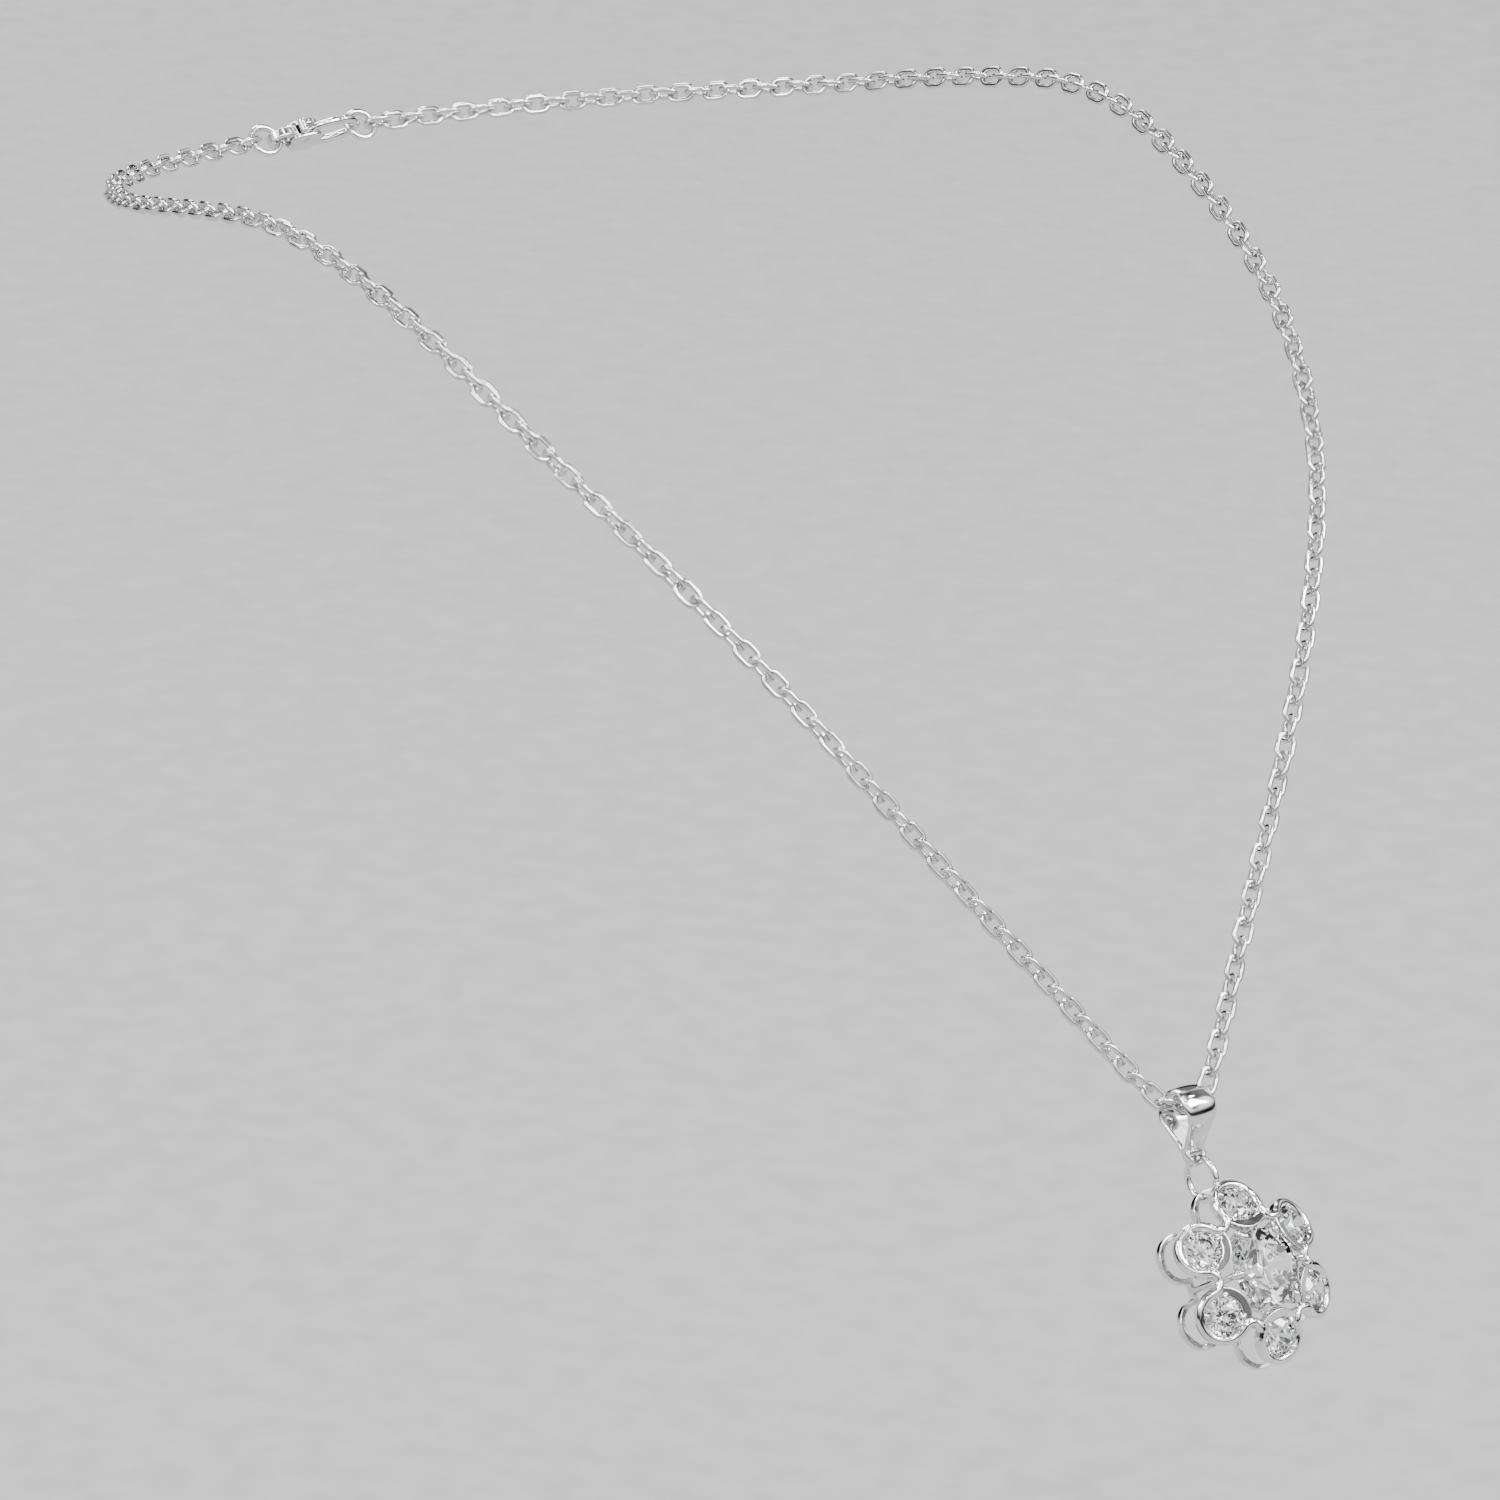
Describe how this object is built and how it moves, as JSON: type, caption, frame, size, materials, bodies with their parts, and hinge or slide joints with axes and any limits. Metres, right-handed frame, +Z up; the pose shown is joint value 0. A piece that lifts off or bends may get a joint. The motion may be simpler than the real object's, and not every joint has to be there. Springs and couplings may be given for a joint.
{
  "type": "pendant necklace",
  "caption": "Fine cable-chain necklace with a folded bail, a jump ring and a six-petalled flower pendant set with clear stones, closed at the back by a lobster clasp.",
  "frame": {"origin": "middle of the wearer's neck, inside the loop, level with the sides of the chain", "axes": "+Z up, -Y to the wearer's front, +X to the wearer's left"},
  "size_m": [0.0908, 0.1461, 0.0845],
  "materials": {
    "chain_silver": "bright rhodium-plated silver",
    "bright_silver": "polished rhodium-plated silver",
    "clear_stone": "clear brilliant-cut stone",
    "spring_steel": "spring steel"
  },
  "bodies": {
    "chain": {"chain_left": "chain_silver", "chain_right": "chain_silver", "centre_link": "chain_silver"},
    "bail": {"bail": "bright_silver"},
    "pendant_ring": {"pendant_ring": "bright_silver"},
    "flower": {"flower_frame": "bright_silver", "gallery_rail": "bright_silver", "gallery_spokes": "bright_silver", "gallery_posts": "bright_silver", "head_ring": "bright_silver", "head_prongs": "bright_silver", "centre_stone": "clear_stone", "petal_stone_1": "clear_stone", "petal_stone_2": "clear_stone", "petal_stone_3": "clear_stone", "petal_stone_4": "clear_stone", "petal_stone_5": "clear_stone", "petal_stone_6": "clear_stone"},
    "clasp_ring": {"clasp_ring": "bright_silver"},
    "clasp": {"clasp_body": "bright_silver", "clasp_pin": "bright_silver", "clasp_spring": "spring_steel"},
    "lever": {"clasp_lever": "bright_silver"},
    "end_ring": {"end_ring": "bright_silver"}
  },
  "joints": [
    {"name": "bail_swing", "type": "hinge", "parent": "chain", "child": "bail", "pos_m": [0, -0.0656, -0.05894], "axis": [-1, 0, 0], "range_deg": [0, 75]},
    {"name": "ring_swing", "type": "hinge", "parent": "bail", "child": "pendant_ring", "pos_m": [0, -0.06696, -0.06275], "axis": [0, -0.829, 0.5592], "range_deg": [-25, 25]},
    {"name": "flower_swing", "type": "hinge", "parent": "pendant_ring", "child": "flower", "pos_m": [0, -0.068, -0.06429], "axis": [-1, 0, 0], "range_deg": [0, 35]},
    {"name": "clasp_ring_roll", "type": "hinge", "parent": "chain", "child": "clasp_ring", "pos_m": [0, 0.06487, -0.00777], "axis": [1, 0, 0], "range_deg": [-12, 12]},
    {"name": "clasp_roll", "type": "hinge", "parent": "clasp_ring", "child": "clasp", "pos_m": [0, 0.06487, -0.00777], "axis": [1, 0, 0], "range_deg": [-12, 12]},
    {"name": "end_ring_roll", "type": "hinge", "parent": "chain", "child": "end_ring", "pos_m": [0, 0.06487, -0.00777], "axis": [1, 0, 0], "range_deg": [-12, 12]},
    {"name": "lever_swing", "type": "hinge", "parent": "clasp", "child": "lever", "pos_m": [-0.00135, 0.06456, -0.00745], "axis": [0, 0.7182, 0.6958], "range_deg": [0, 30], "stiffness_Nm_per_rad": 0.002, "springref_deg": -14.32}
  ],
  "couplings": [
    {"joint": "clasp_roll", "follows": "clasp_ring_roll", "ratio": 1},
    {"joint": "end_ring_roll", "follows": "clasp_ring_roll", "ratio": 1}
  ]
}
